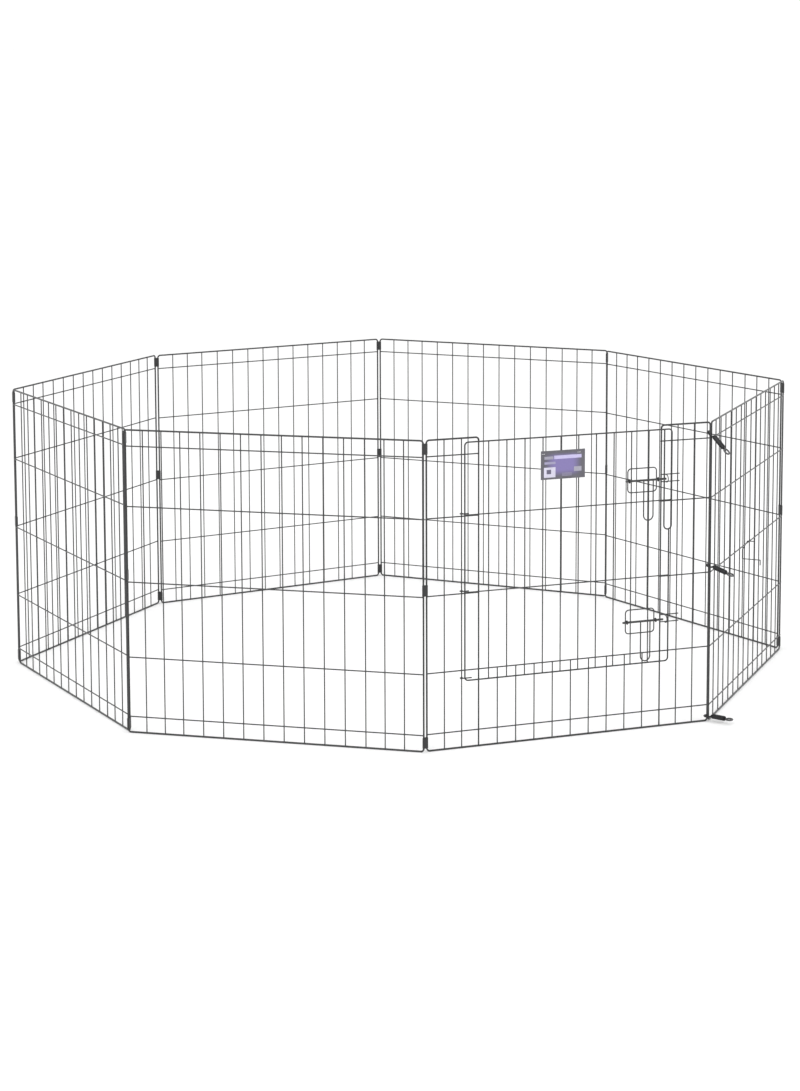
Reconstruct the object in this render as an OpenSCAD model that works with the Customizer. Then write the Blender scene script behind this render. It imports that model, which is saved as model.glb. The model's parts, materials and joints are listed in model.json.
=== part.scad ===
// Folding wire pet playpen: eight square welded wire panels hinged into a ring with sheet-metal
// clips, one panel with a swinging door and two slide bolts, closed at one corner by three bolt snaps.
// Origin: on the floor, at the middle of the ring's outline. +Z up. The door panel faces -Y.

/* [Panels] */
// Height of every panel, mm
panel_height = 616; // [566:5:706]
// Overall width of every panel, mm
panel_width = 610; // [600:1:620]
// Uprights between the narrower outer spaces of a plain panel
cells = 9; // [7:1:11]
// Diameter of the bent frame wire, mm
frame_wire = 3.6; // [3.4:0.1:3.8]
// Diameter of the upright wires, mm
upright_wire = 2.4; // [2.2:0.1:2.4]
// Diameter of the cross wires, mm
cross_wire = 2.6; // [2.4:0.1:2.6]
// Centreline radius of the frame wire's bends, mm
bend = 6; // [5.5:0.1:6]

/* [Hinge clips] */
// Height of a clip band, mm
clip_height = 21; // [16:1:21]
// Sheet thickness of a clip band, mm
clip_sheet = 0.7; // [0.5:0.1:0.8]
// Offset of the next panel's edge wire along that panel, mm
clip_step = 5; // [4.5:0.1:6]

/* [Door] */
// Wire diameter of the door frame, mm
door_wire = 3; // [2.8:0.1:3.2]
// Height of the door's bottom wire above the floor, mm
door_bottom = 136.5; // [134:0.1:138]
// Width of the card hung on the door, mm
card_width = 94; // [84:1:96]
// Height of the card, mm
card_height = 57; // [40:1:62]

/* [Latches and snaps] */
// Diameter of the sliding bolts, mm
bolt_bar = 4.4; // [4:0.1:4.4]
// Inside radius of a snap's hook, mm
hook_inside = 5.2; // [5.2:0.1:5.6]
// How far a snap's closing pin is drawn back, mm
pin_back = 10.6; // [10:0.1:11]

/* [Part] */
// Sub-part to draw

/* [Hidden] */
$fn = 48;
e = 0.02;                                   // air between pieces that only touch
w = panel_width - frame_wire;               // edge wire to edge wire
h = panel_height;
rf = frame_wire/2; ru = upright_wire/2; rc = cross_wire/2;
weld = 0.2;                                 // how far crossed wires melt into each other
yu = weld/2 - ru;                           // uprights, on one side of the edge wires' plane
yc = yu + ru + rc - weld;                   // cross wires, on the other side
levels = [34, h*0.252, h*0.5, h*0.748, h - 34];
stack = 2*cross_wire + 0.4;                 // spacing of folded panels
turns = [33.026, 46.642, 55.127, 35.932, 52.121, 31.971, 57.503];
side = [1, -1, 1, -1, 1, -1, 1];            // 1 folds towards the inside, -1 towards the outside
corner_x = -199.3; corner_y = -711.7;       // where the door panel's hinge-side edge wire stands

// Walk round the ring: heading, start point and end point of panel k (0 is the door panel).
function unit(a) = [cos(a), sin(a)];
function heading(k) = k == 0 ? 180 : heading(k - 1) - turns[k - 1];
function start_of(k) = k == 0 ? [corner_x + w, corner_y] :
  end_of(k - 1) + clip_step*unit(heading(k)) + side[k - 1]*stack*unit(heading(k) + 90);
function end_of(k) = start_of(k) + w*unit(heading(k));

// ---- wire work ----
module rod_z(p, l, r) { translate(p) cylinder(h = l, r = r); }
module rod_x(p, l, r) { translate(p) rotate([0, 90, 0]) cylinder(h = l, r = r); }
module rod_y(p, l, r) { translate(p) rotate([-90, 0, 0]) cylinder(h = l, r = r); }
// Quarter bend in the XZ plane about p; q = 0 top right, 90 bottom right, 180 bottom left, 270 top left
module elbow(p, q, r, br) {
  translate(p) rotate([90, q, 0]) rotate_extrude(angle = 90) translate([br, 0]) circle(r = r);
}
// Closed rounded rectangle of wire, centreline from [x0, z0] to [x1, z1]
module wire_loop(x0, z0, x1, z1, y, r, br) {
  rod_z([x0, y, z0 + br], z1 - z0 - 2*br, r);
  rod_z([x1, y, z0 + br], z1 - z0 - 2*br, r);
  rod_x([x0 + br, y, z0], x1 - x0 - 2*br, r);
  rod_x([x0 + br, y, z1], x1 - x0 - 2*br, r);
  elbow([x1 - br, y, z1 - br], 0, r, br);
  elbow([x1 - br, y, z0 + br], 90, r, br);
  elbow([x0 + br, y, z0 + br], 180, r, br);
  elbow([x0 + br, y, z1 - br], 270, r, br);
}

// ---- plain panel: heading +X, outside of the pen is +Y ----
outer = 38.7;                               // width of the three cells at either side
inner = (w - 6*outer)/cells;
module plain_panel() color([0.09, 0.09, 0.1]) {
  wire_loop(0, rf, w, h - rf, 0, rf, bend);
  for (i = [1 : 2]) for (x = [i*outer, w - i*outer]) rod_z([x, yu, rf], h - 2*rf, ru);
  for (i = [0 : cells]) rod_z([3*outer + i*inner, yu, rf], h - 2*rf, ru);
  for (z = levels) rod_x([0, yc, z], w, rc);
}
module place(k) translate([start_of(k)[0], start_of(k)[1], 0]) rotate([0, 0, heading(k)]) children();

module panel_2() place(1) plain_panel();
module panel_3() place(2) plain_panel();
module panel_4() place(3) plain_panel();
module panel_5() place(4) plain_panel();
module panel_6() place(5) plain_panel();
module panel_7() place(6) plain_panel();
module panel_8() place(7) plain_panel();

// ---- bent wire hook hung over the middle cross wire of the last panel, square to the panel ----
hang_x = 0.5*w; hang_r = 1; hang_z = rc + hang_r + e;
hang = [[12, hang_z], [-1, hang_z], [-12, -17], [-12, -37], [27, -37], [27, -48]];
module wire_hook() color([0.12, 0.12, 0.13]) place(7) translate([hang_x, yc, levels[2]])
  for (i = [0 : 4]) {
    p = hang[i]; d = hang[i + 1] - p;
    translate([0, p[0], p[1]]) rotate([-atan2(d[0], d[1]), 0, 0]) cylinder(h = norm(d), r = hang_r);
    if (i > 0) translate([0, p[0], p[1]]) sphere(r = hang_r);
  }

// ---- hinge clip: a flat band round two edge wires, riding on the later panel ----
clip_in = rf + 0.06;
module half_ring(turn) {
  rotate([0, 0, turn]) rotate_extrude(angle = 180)
    translate([clip_in, 0]) square([clip_sheet, clip_height]);
}
module band(s) {
  reach = norm([clip_step, stack]);
  rotate([0, 0, atan2(-s*stack, -clip_step)]) {
    half_ring(90);
    translate([reach, 0, 0]) half_ring(-90);
    translate([0, clip_in, 0]) cube([reach, clip_sheet, clip_height]);
    translate([0, -clip_in - clip_sheet, 0]) cube([reach, clip_sheet, clip_height]);
  }
}
clip_z = [rf + bend + 0.2, levels[2] + rc + 0.5, h - rf - bend - 0.2 - clip_height];
module clips(k) color([0.05, 0.05, 0.055]) place(k) for (z = clip_z) translate([0, 0, z]) band(side[k - 1]);
module hinge_clips_1_2() clips(1);
module hinge_clips_2_3() clips(2);
module hinge_clips_3_4() clips(3);
module hinge_clips_4_5() clips(4);
module hinge_clips_5_6() clips(5);
module hinge_clips_6_7() clips(6);
module hinge_clips_7_8() clips(7);

// ---- door panel: x runs from the hinge corner to the open corner, outside of the pen is -Y ----
pitch = 36;                                 // spacing of the side strips' uprights
post_l = 3*pitch; post_r = w - 3*pitch;
short = (post_r - post_l)/10;               // spacing of the short uprights below the sill
sill = levels[1];
module at_door() translate([corner_x, corner_y, 0]) children();
module door_panel() color([0.09, 0.09, 0.1]) at_door() {
  // bent frame wire: bottom rail, both edges, two short top runs turned down into the doorway posts
  rod_x([bend, 0, rf], w - 2*bend, rf);
  elbow([bend, 0, rf + bend], 180, rf, bend);
  elbow([w - bend, 0, rf + bend], 90, rf, bend);
  rod_z([0, 0, rf + bend], h - 2*rf - 2*bend, rf);
  rod_z([w, 0, rf + bend], h - 2*rf - 2*bend, rf);
  elbow([bend, 0, h - rf - bend], 270, rf, bend);
  elbow([w - bend, 0, h - rf - bend], 0, rf, bend);
  rod_x([bend, 0, h - rf], post_l - 2*bend, rf);
  rod_x([post_r + bend, 0, h - rf], w - post_r - 2*bend, rf);
  elbow([post_l - bend, 0, h - rf - bend], 0, rf, bend);
  elbow([post_r + bend, 0, h - rf - bend], 270, rf, bend);
  rod_z([post_l, 0, rf], h - 2*rf - bend, rf - 0.3);
  rod_z([post_r, 0, rf], h - 2*rf - bend, rf - 0.3);
  // uprights of the two side strips and the short ones below the door sill
  for (i = [1, 2]) for (x = [i*pitch, w - i*pitch]) rod_z([x, yu, rf], h - 2*rf, ru);
  for (i = [1 : 9]) rod_z([post_l + i*short, yu, rf], sill - rf, ru);
  // cross wires
  for (z = [levels[0], sill]) rod_x([0, yc, z], w, rc);
  for (z = [levels[2], levels[3], levels[4]]) {
    rod_x([0, yc, z], post_l, rc);
    rod_x([post_r, yc, z], w - post_r, rc);
  }
}

// ---- door: a welded grille, the wire that closes the upper part of its free side with a narrow
// finger loop, and three wire eyes that hang it on the side strip's second upright ----
rw = 1.2;                                    // door cross wires, uprights and eyes
rd = door_wire/2;
eye = 2.8;                                   // centreline radius of a hinge eye
hinge_x = 2*pitch;
y_eye = yu - eye;
y_frame = y_eye - rw - rd - e;
y_cross = y_frame + rd + rw - weld;
y_up = y_cross - 2*rw + weld;
door_l = hinge_x + 4.7; door_r = post_r + 14.7; door_top = h - 9.2; door_bend = 7;
loop_l = post_r + 3.9; loop_r = post_r + 20.1; loop_z = levels[3] - 47.5;
join_x = loop_l - 2*rd;                      // where the top wire meets the finger loop's wire
first_up = post_l + 18.4; last_up = post_r - 30; up_step = (last_up - first_up)/9;
module door_grille() color([0.1, 0.1, 0.11]) at_door() {
  rod_z([door_l, y_frame, door_bottom + door_bend], door_top - door_bottom - 2*door_bend, rd);
  rod_x([door_l + door_bend, y_frame, door_bottom], door_r - door_l - 2*door_bend, rd);
  rod_x([door_l + door_bend, y_frame, door_top], join_x - e - door_l - door_bend, rd);
  elbow([door_l + door_bend, y_frame, door_top - door_bend], 270, rd, door_bend);
  elbow([door_l + door_bend, y_frame, door_bottom + door_bend], 180, rd, door_bend);
  elbow([door_r - door_bend, y_frame, door_bottom + door_bend], 90, rd, door_bend);
  rod_z([door_r, y_frame, door_bottom + door_bend], loop_z - 9.62 - door_bottom - door_bend, rd);
  for (i = [0 : 9]) rod_z([first_up + i*up_step, y_up, door_bottom], door_top - door_bottom, rw);
  rod_x([door_l, y_cross, levels[2] + 2.9], door_r - door_l, rw);
  rod_x([door_l, y_cross, levels[3] + 2.9], loop_l - rd - e - door_l, rw);
}
module door_finger_loop() color([0.1, 0.1, 0.11]) at_door() {
  rod_x([join_x, y_frame, door_top], loop_r - door_bend - join_x, rd);
  elbow([loop_r - door_bend, y_frame, door_top - door_bend], 0, rd, door_bend);
  rod_z([loop_r, y_frame, loop_z], door_top - door_bend - loop_z, rd);
  translate([(loop_l + loop_r)/2, y_frame, loop_z]) rotate([90, 180, 0]) rotate_extrude(angle = 180)
    translate([(loop_r - loop_l)/2, 0]) circle(r = rd);
  rod_z([loop_l, y_frame, loop_z], door_top - 0.6 - loop_z, rd);
  rod_x([loop_l - rd, y_cross, levels[3] + 2.9], loop_r + rd - loop_l + rd, rw);
}
module hinge_eye(l, z) {
  rod_x([hinge_x, y_eye, z], l, rw);
  translate([hinge_x, yu, z]) rotate([0, 0, -20]) rotate_extrude(angle = 290)
    translate([eye, 0]) circle(r = rw);
}
module door_hinge_eyes() color([0.1, 0.1, 0.11]) at_door() {
  for (z = [levels[2] + 5.5, levels[3] + 5.5]) hinge_eye(14, z);
  hinge_eye(20, door_bottom + 4.2);
}

// ---- slide bolts: guide loop with two eyes, bar with a hanging U handle, staple on the side strip ----
bolt_z = [h*0.8252, h*0.3625];
guide_x = [post_r - 76.9, post_r - 79.9];    // left side of each guide
guide_w = 62.5; guide_half = 24;
rb = bolt_bar/2; rh = 1.3;
y_guide = y_up - 2*rw - e;
y_bolt = y_guide - rw - 0.3 - rb;
ring_r = 1.1; ring_c = rb + 0.06 + ring_r;
module ring_x(p, c, r) translate(p) rotate([0, 90, 0]) rotate_extrude() translate([c, 0]) circle(r = r);
module guide(i) color([0.1, 0.1, 0.11]) at_door() {
  x = guide_x[i]; z = bolt_z[i];
  wire_loop(x, z - guide_half, x + guide_w, z + guide_half, y_guide, rw, door_bend);
  ring_x([x + rw + ring_r - weld, y_bolt, z], ring_c, ring_r);
  ring_x([x + guide_w + rw + ring_r - weld, y_bolt, z], ring_c, ring_r);
}
module upper_latch_guide() guide(0);
module lower_latch_guide() guide(1);
bolt_x = [post_r - 82.9, post_r - 87.4]; bolt_length = 88;
leg_l = 39.2; leg_r = 59.8; handle_drop = 70.8;
module slide_bolt(i) color([0.07, 0.07, 0.075]) at_door() translate([bolt_x[i], y_bolt, bolt_z[i]]) {
  rod_x([0, 0, 0], bolt_length, rb);
  rod_z([leg_l, 0, -handle_drop], handle_drop, rh);
  rod_z([leg_r, 0, -handle_drop], handle_drop, rh);
  translate([(leg_l + leg_r)/2, 0, -handle_drop]) rotate([90, 180, 0])
    rotate_extrude(angle = 180) translate([(leg_r - leg_l)/2, 0]) circle(r = rh);
}
module upper_slide_bolt() slide_bolt(0);
module lower_slide_bolt() slide_bolt(1);
staple_x = post_r + 7.3; staple_half = 7.3;
module keeper(z) color([0.09, 0.09, 0.1]) at_door() {
  y = yu - ru - ring_r - e;
  for (s = [-1, 1]) {
    rod_x([post_r - 3, y, z + s*staple_half], pitch + 6, ring_r);
    rod_y([staple_x, y_bolt + 2, z + s*staple_half], y - y_bolt - 2, 1);
  }
  translate([staple_x, y_bolt + 2, z]) rotate([0, 90, 0]) rotate([0, 0, 180])
    rotate_extrude(angle = 180) translate([staple_half, 0]) circle(r = 1);
}
module upper_keeper() keeper(bolt_z[0]);
module lower_keeper() keeper(bolt_z[1]);

// ---- plain card tied to two of the door's uprights ----
card_mid = first_up + 4.1*up_step; card_top = h - 36.6; card_y = y_up - rw - 0.55;
tie_x = [first_up + 3*up_step, first_up + 5*up_step]; tie_c = 2.5;
tie_y = y_up - 0.5; hole_dx = sqrt(tie_c*tie_c - pow(tie_y - card_y - 0.25, 2));
module door_card() color([0.45, 0.42, 0.6]) at_door() difference() {
  translate([card_mid - card_width/2, card_y, card_top - card_height]) cube([card_width, 0.5, card_height]);
  for (x = tie_x) for (s = [-1, 1]) rod_y([x + s*hole_dx, card_y - 1, card_top - 6], 3, 0.95);
}
module card_ties() color([0.85, 0.85, 0.85]) at_door()
  for (x = tie_x) translate([x, tie_y, card_top - 6]) rotate_extrude()
    translate([tie_c, 0]) circle(r = 0.45);

// ---- bolt snaps at the open corner: X runs from the hook to the eye, the mouth opens towards +Y ----
snap_turn = -56;
hook_c = hook_inside + 1.8; wire_in = -hook_inside + rf + 0.3;    // where the door panel's edge wire stands
barrel_y = 3; barrel_x = hook_inside + 4; pin_y = 5.6;
module snap_at(z, tilt) translate([corner_x + w, corner_y, z]) rotate([0, 0, snap_turn])
  translate([0, -wire_in, 0]) rotate([0, tilt, 0]) children();
module snap_body() color([0.16, 0.16, 0.17]) difference() {
  union() {
    rotate([0, 0, 130]) rotate_extrude(angle = 250) translate([hook_c, 0]) circle(r = 1.8);
    rod_x([barrel_x - 3, barrel_y, 0], 4, 2.6);
    rod_x([barrel_x, barrel_y, 0], 27.8, 5);
    rod_x([barrel_x + 27, barrel_y, 0], 2.6, 3.6);
  }
  rod_x([barrel_x - 4.5, pin_y, 0], 25, 1.56);
  translate([barrel_x + 1.2, pin_y, -1.45]) cube([14.8, 5, 2.9]);
  rod_x([barrel_x + 21.8, barrel_y, 0], 3, 3);
  rod_x([barrel_x + 23.8, barrel_y, 0], 8, 1.66);
}
module snap_pin() color([0.3, 0.3, 0.31]) {
  tip = pin_back - 2.6;                       // closed, the tip stands at -2.6, short of the hook's end
  rod_x([tip, pin_y, 0], 17, 1.5);
  rod_y([tip + 15, pin_y, 0], 4.4, 1.25);
  rod_y([tip + 15, pin_y + 3.8, 0], 1.8, 2.3);
}
module snap_eye() color([0.3, 0.3, 0.31]) {
  rod_x([barrel_x + 22.1, barrel_y, 0], 2.4, 2.8);
  rod_x([barrel_x + 23.8, barrel_y, 0], 8.4, 1.6);
  translate([barrel_x + 38.2, barrel_y, 0]) rotate_extrude() translate([6.6, 0]) circle(r = 1.7);
}
top_z = h - 26; top_tilt = 44; middle_z = levels[2] + 13; middle_tilt = 16; bottom_z = 10;
module top_snap_body() snap_at(top_z, top_tilt) snap_body();
module top_snap_pin() snap_at(top_z, top_tilt) snap_pin();
module top_snap_eye() snap_at(top_z, top_tilt) snap_eye();
module middle_snap_body() snap_at(middle_z, middle_tilt) snap_body();
module middle_snap_pin() snap_at(middle_z, middle_tilt) snap_pin();
module middle_snap_eye() snap_at(middle_z, middle_tilt) snap_eye();
module bottom_snap_body() snap_at(bottom_z, 0) snap_body();
module bottom_snap_pin() snap_at(bottom_z, 0) snap_pin();
module bottom_snap_eye() snap_at(bottom_z, 0) snap_eye();

door_panel();
door_grille();
door_finger_loop();
door_hinge_eyes();
upper_latch_guide();
lower_latch_guide();
upper_slide_bolt();
lower_slide_bolt();
upper_keeper();
lower_keeper();
door_card();
card_ties();
panel_2();
panel_3();
panel_4();
panel_5();
panel_6();
panel_7();
panel_8();
wire_hook();
hinge_clips_1_2();
hinge_clips_2_3();
hinge_clips_3_4();
hinge_clips_4_5();
hinge_clips_5_6();
hinge_clips_6_7();
hinge_clips_7_8();
top_snap_body();
top_snap_pin();
top_snap_eye();
middle_snap_body();
middle_snap_pin();
middle_snap_eye();
bottom_snap_body();
bottom_snap_pin();
bottom_snap_eye();
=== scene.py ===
import json
import math
import bpy
import bmesh
from mathutils import Vector, Matrix


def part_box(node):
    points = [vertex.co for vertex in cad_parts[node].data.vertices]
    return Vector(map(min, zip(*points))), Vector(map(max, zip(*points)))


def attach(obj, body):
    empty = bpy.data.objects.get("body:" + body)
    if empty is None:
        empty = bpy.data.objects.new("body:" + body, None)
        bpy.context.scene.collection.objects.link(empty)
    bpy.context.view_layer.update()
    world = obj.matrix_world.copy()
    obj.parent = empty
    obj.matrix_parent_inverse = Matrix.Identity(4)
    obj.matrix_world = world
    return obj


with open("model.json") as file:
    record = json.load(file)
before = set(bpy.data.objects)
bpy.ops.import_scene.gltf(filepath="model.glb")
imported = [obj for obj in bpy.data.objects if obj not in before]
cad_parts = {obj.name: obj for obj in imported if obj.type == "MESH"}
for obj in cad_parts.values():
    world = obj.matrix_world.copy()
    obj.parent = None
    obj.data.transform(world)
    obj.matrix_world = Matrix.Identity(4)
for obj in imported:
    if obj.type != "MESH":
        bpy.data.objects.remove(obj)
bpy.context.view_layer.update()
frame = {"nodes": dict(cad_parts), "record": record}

# A folding wire pet playpen. The CAD meshes carry its shape. This script gives each its material, adds
# the weld beads where wires cross and a plain print on the door's card, and sets up the studio.


# ---------------------------------------------------------------- materials
def material(name, color, rough, metallic=0.0, coat=0.0, grain=900.0, bump=0.15, spread=0.25):
    """Coated or plated metal or plastic: uneven tone and sheen over a fine grain.

    grain is the fine noise's scale, bump its strength, and spread how far the tone strays from color.
    """
    m = bpy.data.materials.new(name)
    m.use_nodes = True
    nodes, link = m.node_tree.nodes, m.node_tree.links.new
    shader = nodes["Principled BSDF"].inputs
    shader["Metallic"].default_value = metallic
    shader["Coat Weight"].default_value = coat
    shader["Coat Roughness"].default_value = 0.25
    place = nodes.new("ShaderNodeTexCoord").outputs["Object"]

    broad = nodes.new("ShaderNodeTexNoise")
    broad.inputs["Scale"].default_value = grain / 14
    broad.inputs["Detail"].default_value = 4
    link(place, broad.inputs["Vector"])

    tone = nodes.new("ShaderNodeValToRGB")
    dark, light = tone.color_ramp.elements
    dark.position, light.position = 0.3, 0.7
    dark.color = [c * (1 - spread) for c in color] + [1]
    light.color = [min(1, c * (1 + spread)) for c in color] + [1]
    link(broad.outputs["Fac"], tone.inputs["Fac"])
    link(tone.outputs["Color"], shader["Base Color"])

    sheen = nodes.new("ShaderNodeMapRange")
    sheen.inputs["To Min"].default_value = rough - 0.08
    sheen.inputs["To Max"].default_value = rough + 0.1
    link(broad.outputs["Fac"], sheen.inputs["Value"])
    link(sheen.outputs["Result"], shader["Roughness"])

    fine = nodes.new("ShaderNodeTexNoise")
    fine.inputs["Scale"].default_value = grain
    fine.inputs["Detail"].default_value = 3
    link(place, fine.inputs["Vector"])
    relief = nodes.new("ShaderNodeBump")
    relief.inputs["Strength"].default_value = bump
    relief.inputs["Distance"].default_value = 0.0003
    link(fine.outputs["Fac"], relief.inputs["Height"])
    link(relief.outputs["Normal"], shader["Normal"])
    return m


MATS = {
    "black_wire": material("black_wire", (0.013, 0.013, 0.0145), 0.42, coat=0.3),
    "bolt_bar": material("bolt_bar", (0.011, 0.011, 0.012), 0.36, coat=0.4),
    "clip_sheet": material("clip_sheet", (0.008, 0.008, 0.009), 0.46, coat=0.2, grain=1400),
    "snap_casting": material("snap_casting", (0.03, 0.03, 0.032), 0.38, metallic=0.75, grain=1600,
                             bump=0.3),
    "snap_bolt_steel": material("snap_bolt_steel", (0.09, 0.09, 0.094), 0.3, metallic=1.0, grain=2000,
                                bump=0.1),
    "card": material("card", (0.10, 0.097, 0.115), 0.38, grain=700, bump=0.06, spread=0.12),
    "tie": material("tie", (0.55, 0.56, 0.58), 0.3, grain=500, bump=0.05, spread=0.08),
}
WELD = material("weld_bead", (0.012, 0.012, 0.013), 0.5, coat=0.25, grain=1800, bump=0.5)

slot_of = {s["node"]: s["material_slot"] for s in frame["record"]["subparts"]}
for name, o in frame["nodes"].items():
    o.data.materials.clear()
    o.data.materials.append(MATS[slot_of[name]])
    for p in o.data.polygons:
        p.use_smooth = True


def new_piece(name, bm, mat):
    """Turn a bmesh into a linked object with one material."""
    me = bpy.data.meshes.new(name)
    bm.to_mesh(me)
    bm.free()
    me.materials.append(mat)
    o = bpy.data.objects.new(name, me)
    bpy.context.collection.objects.link(o)
    return o


# ---------------------------------------------------------------- weld beads at the wire crossings
MM = 0.001
FRAME_R, UPRIGHT_R = 1.8, 1.2                    # wire radii, mm
UPRIGHT_Y = -1.1                                 # the uprights' layer beside the frame wire's plane, mm
OUTER_CELL, INNER_CELLS = 38.7, 9                # a plain panel: three such cells, nine even ones, three
STRIP_CELL = 36                                  # the door panel's cells beside the doorway, three a side

# A bead's place across the panel, then its half sizes along, across and up, all in mm
CROSSING = (0.05, 1.75, 0.95, 1.7)               # an upright over a cross wire
EDGE_END = (1.0, 2.3, 1.0, 1.8)                  # a cross wire's end on a plain panel's edge wire
POST_END = (1.0, 2.1, 1.0, 1.8)                  # the same on the door panel's edges and doorway posts
RAIL_END = (-0.9, 1.6, 1.1, 2.1)                 # an upright's end on the top or bottom rail
IN_FROM_EDGE = 0.5                               # how far inside the edge wire its beads sit, mm
IN_FROM_RAIL = FRAME_R + 0.4                     # the same from the panel's top and bottom, mm


def beads_at(xs, zs, bead, across=0.0):
    """One bead (along, across, up and its half sizes) wherever one of xs meets one of zs."""
    return [(x, across + bead[0], z, *bead[1:]) for x in xs for z in zs]


def add_beads(name, body, origin, along, out, spots):
    """Small puddled beads that move with a body, at spots measured from origin in mm."""
    bm = bmesh.new()
    turn = Matrix((along, out, Vector((0, 0, 1)))).transposed().to_4x4()
    for u, n, z, ru, rn, rz in spots:
        at = origin + along * u * MM + out * n * MM + Vector((0, 0, z * MM))
        size = Matrix.Diagonal((ru * MM, rn * MM, rz * MM, 1))
        bmesh.ops.create_icosphere(bm, subdivisions=1, radius=1, matrix=Matrix.Translation(at) @ turn @ size)
    o = new_piece(name, bm, WELD)
    for p in o.data.polygons:
        p.use_smooth = True
    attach(o, body)


def flat_frame(node):
    """A panel's first edge wire's foot, its direction along, its outward normal and its width in mm."""
    o = frame["nodes"][node]
    pts = [o.matrix_world @ v.co for v in o.data.vertices]
    mx, my = sum(q.x for q in pts) / len(pts), sum(q.y for q in pts) / len(pts)
    sxx = sum((q.x - mx) ** 2 for q in pts)
    syy = sum((q.y - my) ** 2 for q in pts)
    sxy = sum((q.x - mx) * (q.y - my) for q in pts)
    a = 0.5 * math.atan2(2 * sxy, sxx - syy)     # the flat panel's main direction, seen from above
    out = Vector((-math.sin(a), math.cos(a), 0))
    if out.x * mx + out.y * my < 0:
        out = -out
    along = Vector((out.y, -out.x, 0))
    u = [q.dot(along) for q in pts]
    n = [q.dot(out) for q in pts]
    base = along * (min(u) + FRAME_R * MM) + out * (min(n) + (UPRIGHT_R - UPRIGHT_Y) * MM)
    return base, along, out, (max(u) - min(u)) / MM - 2 * FRAME_R


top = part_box("panel_2")[1][2] / MM
LEVELS = (34, top * 0.252, top * 0.5, top * 0.748, top - 34)          # the five cross wires
RAILS = (IN_FROM_RAIL, top - IN_FROM_RAIL)

for k in range(2, 9):
    base, along, out, wide = flat_frame(f"panel_{k}")
    inner = (wide - 6 * OUTER_CELL) / INNER_CELLS
    ups = [OUTER_CELL, 2 * OUTER_CELL]
    ups += [3 * OUTER_CELL + i * inner for i in range(INNER_CELLS + 1)]
    ups += [wide - 2 * OUTER_CELL, wide - OUTER_CELL]
    spots = beads_at(ups, LEVELS, CROSSING)
    spots += beads_at((IN_FROM_EDGE, wide - IN_FROM_EDGE), LEVELS, EDGE_END)
    spots += beads_at(ups, RAILS, RAIL_END)
    add_beads(f"welds_panel_{k}", f"wire_panel_{k}", base, along, out, spots)

# The door panel lies square to the axes: its own wires first
lo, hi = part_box("door_panel")
base = Vector((lo[0] + FRAME_R * MM, lo[1] + (UPRIGHT_R - UPRIGHT_Y) * MM, 0))
east, north = Vector((1, 0, 0)), Vector((0, 1, 0))
wide = (hi[0] - lo[0]) / MM - 2 * FRAME_R
left_post, right_post = 3 * STRIP_CELL, wide - 3 * STRIP_CELL
hinge_wire = 2 * STRIP_CELL                      # the door's eyes turn on this upright
strips = (STRIP_CELL, hinge_wire, wide - 2 * STRIP_CELL, wide - STRIP_CELL)
shorts = [left_post + i * (right_post - left_post) / 10 for i in range(1, 10)]      # below the sill
spots = []
for x in strips:                                 # the hinge wire is welded at its ends only
    spots += beads_at([x], LEVELS[::4] if x == hinge_wire else LEVELS, CROSSING)
spots += beads_at(shorts, LEVELS[:2], CROSSING)
spots += beads_at((IN_FROM_EDGE, left_post, right_post, wide - IN_FROM_EDGE), LEVELS, POST_END)
spots += beads_at((*strips, *shorts), RAILS[:1], RAIL_END)
spots += beads_at(strips, RAILS[1:], RAIL_END)
add_beads("welds_door_panel", "door_frame_panel", base, east, north, spots)

# The door's wires, whose beads are placed across from the grille's outer face
DOOR_CROSSING = (2.9, 1.6, 0.8, 1.6)
DOOR_RAIL_END = (1.7, 1.6, 1.35, 0.9)
DOOR_EYE = (3.0, 1.7, 0.8, 1.9)
LOOP_FOOT = (1.5, 1.6, 1.35, 1.5)
SIDE_END = (2.9, 1.7, 0.8, 1.6)
CROSS_RISE, EYE_RISE = 2.9, 4.3                  # the door's wires and eyes above the panel's levels, mm
lo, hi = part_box("door_grille")
door_low, door_high = lo[2] / MM + 1.5, hi[2] / MM - 1.5              # middles of its end wires
front = (lo[1] - base.y) / MM
ups = [left_post + 18.4 + i * (right_post - left_post - 48.4) / 9 for i in range(10)]
side = right_post + 14.7                         # the free side's wire
spots = beads_at(ups, [z + CROSS_RISE for z in LEVELS[2:4]], DOOR_CROSSING, front)
spots += beads_at(ups, (door_low + 1.5, door_high - 1.5), DOOR_RAIL_END, front)
spots += beads_at([76.7], (LEVELS[2] + EYE_RISE, LEVELS[3] + EYE_RISE, door_low + 4.2), DOOR_EYE, front)
spots += beads_at([side - 0.5], [LEVELS[3] - 56.6], LOOP_FOOT, front)
spots += beads_at([side], [LEVELS[2] + CROSS_RISE], SIDE_END, front)
add_beads("welds_door", "door", base, east, north, spots)


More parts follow.
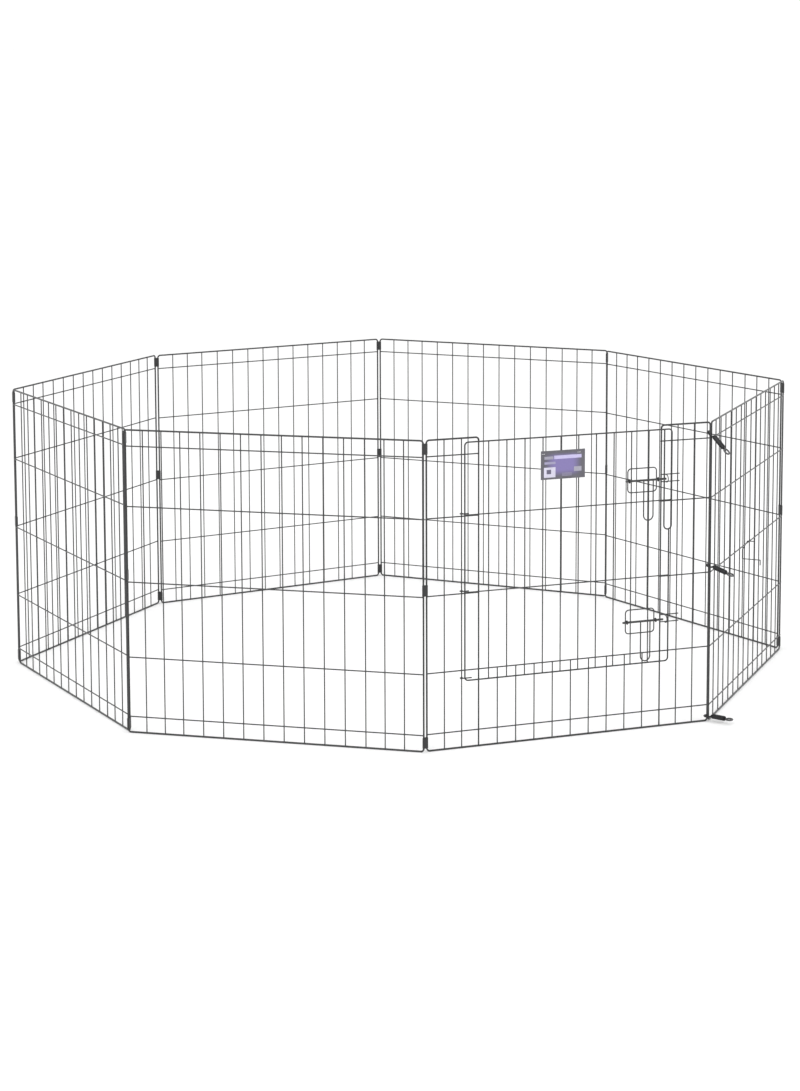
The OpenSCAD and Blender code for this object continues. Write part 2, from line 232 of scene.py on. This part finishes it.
# ---------------------------------------------------------------- the card's plain print
def glow_over(m, lo, hi, color):
    """A second colour that swells towards the middle of the box and fades out before its edges."""
    nodes, link = m.node_tree.nodes, m.node_tree.links.new
    base_color = nodes["Principled BSDF"].inputs["Base Color"]
    under = base_color.links[0].from_socket
    xyz = nodes.new("ShaderNodeSeparateXYZ")
    link(nodes.new("ShaderNodeTexCoord").outputs["Object"], xyz.inputs["Vector"])
    swells = []
    for axis, k in (("X", 0), ("Z", 2)):
        r = nodes.new("ShaderNodeMapRange")
        r.inputs["From Min"].default_value, r.inputs["From Max"].default_value = lo[k], hi[k]
        link(xyz.outputs[axis], r.inputs["Value"])
        swell = nodes.new("ShaderNodeValToRGB")
        swell.color_ramp.interpolation = "EASE"
        e = swell.color_ramp.elements
        e[0].position, e[0].color = 0.05, (0, 0, 0, 1)
        e[1].position, e[1].color = 0.95, (0, 0, 0, 1)
        for at in (0.34, 0.7):
            e.new(at).color = (1, 1, 1, 1)
        link(r.outputs["Result"], swell.inputs["Fac"])
        swells.append(swell.outputs["Color"])
    both = nodes.new("ShaderNodeMix")
    both.data_type, both.blend_type = "RGBA", "MULTIPLY"
    both.inputs["Factor"].default_value = 1
    link(swells[0], both.inputs["A"])
    link(swells[1], both.inputs["B"])
    mix = nodes.new("ShaderNodeMix")
    mix.data_type = "RGBA"
    link(both.outputs["Result"], mix.inputs["Factor"])
    link(under, mix.inputs["A"])
    mix.inputs["B"].default_value = (*color, 1)
    link(mix.outputs["Result"], base_color)


card_lo, card_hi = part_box("door_card")
glow_over(MATS["card"], card_lo, card_hi, (0.19, 0.155, 0.36))
INK = 0.00004                                    # thickness of the ink, m
ON_CARD, ON_INK = 0.00003, 0.0001                # how far off the card's face a block lies, m


def print_block(name, left, right, bottom, top, color, lift=ON_CARD, rows=1):
    """Flat ink block on the card's outer face, in fractions of the card, as one or more bars."""
    bm = bmesh.new()
    wide, tall = card_hi[0] - card_lo[0], card_hi[2] - card_lo[2]
    x0, x1 = card_lo[0] + left * wide, card_lo[0] + right * wide
    step = (top - bottom) / rows
    for i in range(rows):
        z0 = bottom + i * step
        z1 = z0 + step * (1 if rows == 1 else 0.55)
        v = [bm.verts.new((x, card_lo[1] - lift - d, card_lo[2] + z * tall))
             for d in (0, INK) for x, z in ((x0, z0), (x1, z0), (x1, z1), (x0, z1))]
        for f in ((0, 1, 2, 3), (7, 6, 5, 4), (0, 4, 5, 1), (1, 5, 6, 2), (2, 6, 7, 3), (3, 7, 4, 0)):
            bm.faces.new([v[k] for k in f])
    bmesh.ops.recalc_face_normals(bm, faces=bm.faces)
    o = new_piece(name, bm, material(name, color, 0.4, grain=900, bump=0.05, spread=0.1))
    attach(o, "door")


print_block("card_print_stripe", 0.3, 0.92, 0.70, 0.82, (0.47, 0.43, 0.66))
print_block("card_print_stripe_end", 0.08, 0.28, 0.70, 0.80, (0.30, 0.29, 0.36))
print_block("card_print_line", 0.08, 0.33, 0.53, 0.61, (0.30, 0.28, 0.42))
print_block("card_print_square", 0.07, 0.33, 0.07, 0.42, (0.56, 0.54, 0.66))
print_block("card_print_spot", 0.13, 0.23, 0.19, 0.34, (0.11, 0.10, 0.16), lift=ON_INK)
print_block("card_print_block", 0.75, 0.92, 0.24, 0.40, (0.34, 0.33, 0.40))
print_block("card_print_bars", 0.48, 0.70, 0.10, 0.22, (0.24, 0.22, 0.32), rows=3)

# ---------------------------------------------------------------- floor, light, camera
pale = bpy.data.materials.new("studio_floor")
pale.use_nodes = True
pale.node_tree.nodes["Principled BSDF"].inputs["Base Color"].default_value = (0.9, 0.9, 0.9, 1)
pale.node_tree.nodes["Principled BSDF"].inputs["Roughness"].default_value = 1.0
bpy.ops.mesh.primitive_plane_add(size=400, location=(0, 0, 0))        # so wide that no horizon shows
floor = bpy.context.object
floor.name = "studio_floor"
floor.data.materials.append(pale)

world = bpy.data.worlds.new("studio")
bpy.context.scene.world = world
world.use_nodes = True
world.node_tree.nodes["Background"].inputs["Color"].default_value = (1, 1, 1, 1)
world.node_tree.nodes["Background"].inputs["Strength"].default_value = 1.12


def area(name, loc, size, power):
    """A soft square lamp aimed at the middle of the pen."""
    lamp = bpy.data.lights.new(name, "AREA")
    lamp.energy, lamp.size = power, size
    o = bpy.data.objects.new(name, lamp)
    o.location = loc
    o.rotation_euler = (Vector((0, 0, 0.3)) - Vector(loc)).to_track_quat("-Z", "Y").to_euler()
    bpy.context.collection.objects.link(o)


area("key", (-2.6, -3.2, 3.6), 2.5, 55)
area("fill", (3.4, -2.2, 2.4), 3.0, 25)

# The camera stands low and far off, turned 19 degrees from the door panel's normal. A vertical shift
# puts the pen in the lower part of the picture.
turn, tilt, roll = math.radians(-19.37), math.radians(6.56), math.radians(-0.247)
distance = 5.283
target = Vector((-0.035, 0, 0.792))              # looked at before the turn about the pen's middle
slide = Vector((-0.0013, -0.0127, 0))            # and moved by this after it
fwd = Vector((0, math.cos(tilt), -math.sin(tilt)))
level = Vector((1, 0, 0))
up = level.cross(fwd)
cam_x = level * math.cos(roll) + up * math.sin(roll)
cam_y = -level * math.sin(roll) + up * math.cos(roll)
spin = Matrix.Rotation(turn, 3, "Z")
axes = Matrix((spin @ cam_x, spin @ cam_y, spin @ -fwd)).transposed().to_4x4()
cam = bpy.data.objects.new("camera", bpy.data.cameras.new("camera"))
bpy.context.collection.objects.link(cam)
cam.matrix_world = Matrix.Translation(spin @ (target - fwd * distance) + slide) @ axes
cam.data.sensor_width = 36
cam.data.lens = 78.89
cam.data.shift_x, cam.data.shift_y = 0.01476, -0.2202
cam.data.clip_start, cam.data.clip_end = 0.1, 1000
bpy.context.scene.camera = cam
bpy.context.scene.view_settings.view_transform = "Standard"
